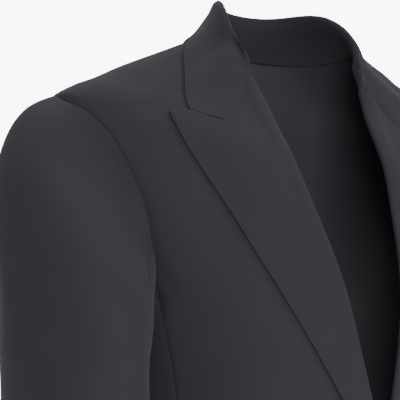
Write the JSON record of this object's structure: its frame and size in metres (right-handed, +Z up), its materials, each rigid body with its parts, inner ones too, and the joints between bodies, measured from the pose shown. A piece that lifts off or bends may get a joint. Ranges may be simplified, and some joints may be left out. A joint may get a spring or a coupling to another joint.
{
  "type": "business suit",
  "caption": "Worn, hollow business suit in dark charcoal wool: single-breasted jacket with broad peak lapels, breast welt, flap pockets and buttoned sleeves, over straight plain trousers.",
  "frame": {"origin": "middle of the line between the two points where the shoulder seams meet the neck, where the wearer's shoulders hold the suit up", "axes": "+Z up, the wearer faces -Y, and the wearer's left is +X"},
  "size_m": [0.616, 0.311, 1.524],
  "materials": {
    "wool": "fine matt worsted wool, dark charcoal",
    "trouser_wool": "fine matt worsted wool, dark charcoal",
    "button": "satin black, horn look"
  },
  "bodies": {
    "root": {"back_left": "wool", "back_right": "wool", "breast_welt": "wool", "collar": "wool", "cuff_button_left_1": "button", "cuff_button_left_2": "button", "cuff_button_left_3": "button", "cuff_button_left_4": "button", "cuff_button_right_1": "button", "cuff_button_right_2": "button", "cuff_button_right_3": "button", "cuff_button_right_4": "button", "front_button_1": "button", "front_button_2": "button", "front_left": "wool", "front_right": "wool", "lapel_left": "wool", "lapel_right": "wool", "pocket_flap_left": "wool", "pocket_flap_right": "wool", "side_left": "wool", "side_right": "wool", "sleeve_top_left": "wool", "sleeve_top_right": "wool", "sleeve_under_left": "wool", "sleeve_under_right": "wool", "trouser_back_left": "trouser_wool", "trouser_back_right": "trouser_wool", "trouser_front_left": "trouser_wool", "trouser_front_right": "trouser_wool", "waistband": "trouser_wool"}
  },
  "joints": []
}
